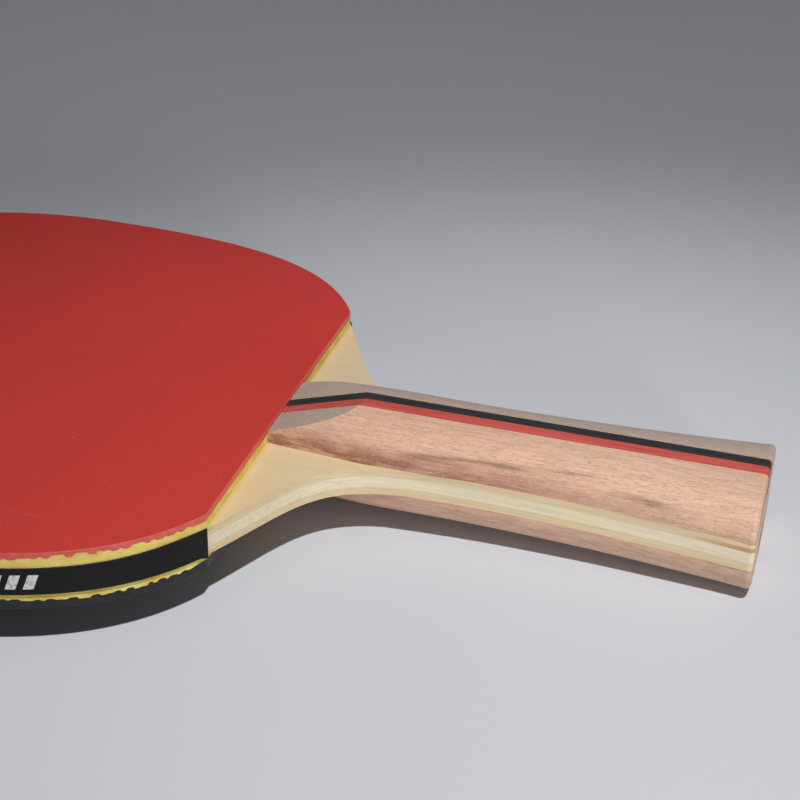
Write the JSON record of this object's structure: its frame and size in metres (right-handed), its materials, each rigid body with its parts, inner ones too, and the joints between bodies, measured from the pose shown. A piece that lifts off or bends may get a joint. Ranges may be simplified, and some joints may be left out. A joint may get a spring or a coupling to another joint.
{
  "type": "table tennis paddle",
  "caption": "Table tennis paddle: laminated wooden blade, rubber over sponge on both faces, edge tape, and a flared handle with dyed strips down its middle.",
  "frame": {"origin": "centre of the bounding box in plan, at the lowest point of the paddle, which is the middle of the lower scale", "axes": "+X from the head along the grip to its butt, +Z square to the blade and out of the red face, +Y across the blade"},
  "size_m": [0.2606, 0.1496, 0.022],
  "materials": {
    "core_wood": "pale sanded wood, edge grain",
    "medial_veneer": "yellowish sanded veneer, edge grain",
    "face_veneer": "pale sanded veneer, grain along the handle",
    "sponge": "matte yellow foam rubber",
    "red_rubber": "smooth red rubber with a soft sheen",
    "black_rubber": "smooth black rubber with a soft sheen",
    "edge_tape": "black woven tape, faint weave",
    "handle_wood": "pinkish brown hardwood, oiled, open pores",
    "red_veneer": "red dyed veneer, sanded flush",
    "black_veneer": "black dyed veneer, sanded flush"
  },
  "bodies": {
    "root": {"core_ply": "core_wood", "upper_medial_ply": "medial_veneer", "lower_medial_ply": "medial_veneer", "upper_face_ply": "face_veneer", "lower_face_ply": "face_veneer", "red_sponge": "sponge", "black_sponge": "sponge", "red_topsheet": "red_rubber", "black_topsheet": "black_rubber", "edge_tape": "edge_tape", "upper_scale_near_wood": "handle_wood", "upper_scale_far_wood": "handle_wood", "upper_scale_red_strip": "red_veneer", "upper_scale_black_strip": "black_veneer", "lower_scale_near_wood": "handle_wood", "lower_scale_far_wood": "handle_wood", "lower_scale_red_strip": "red_veneer", "lower_scale_black_strip": "black_veneer"}
  },
  "joints": []
}
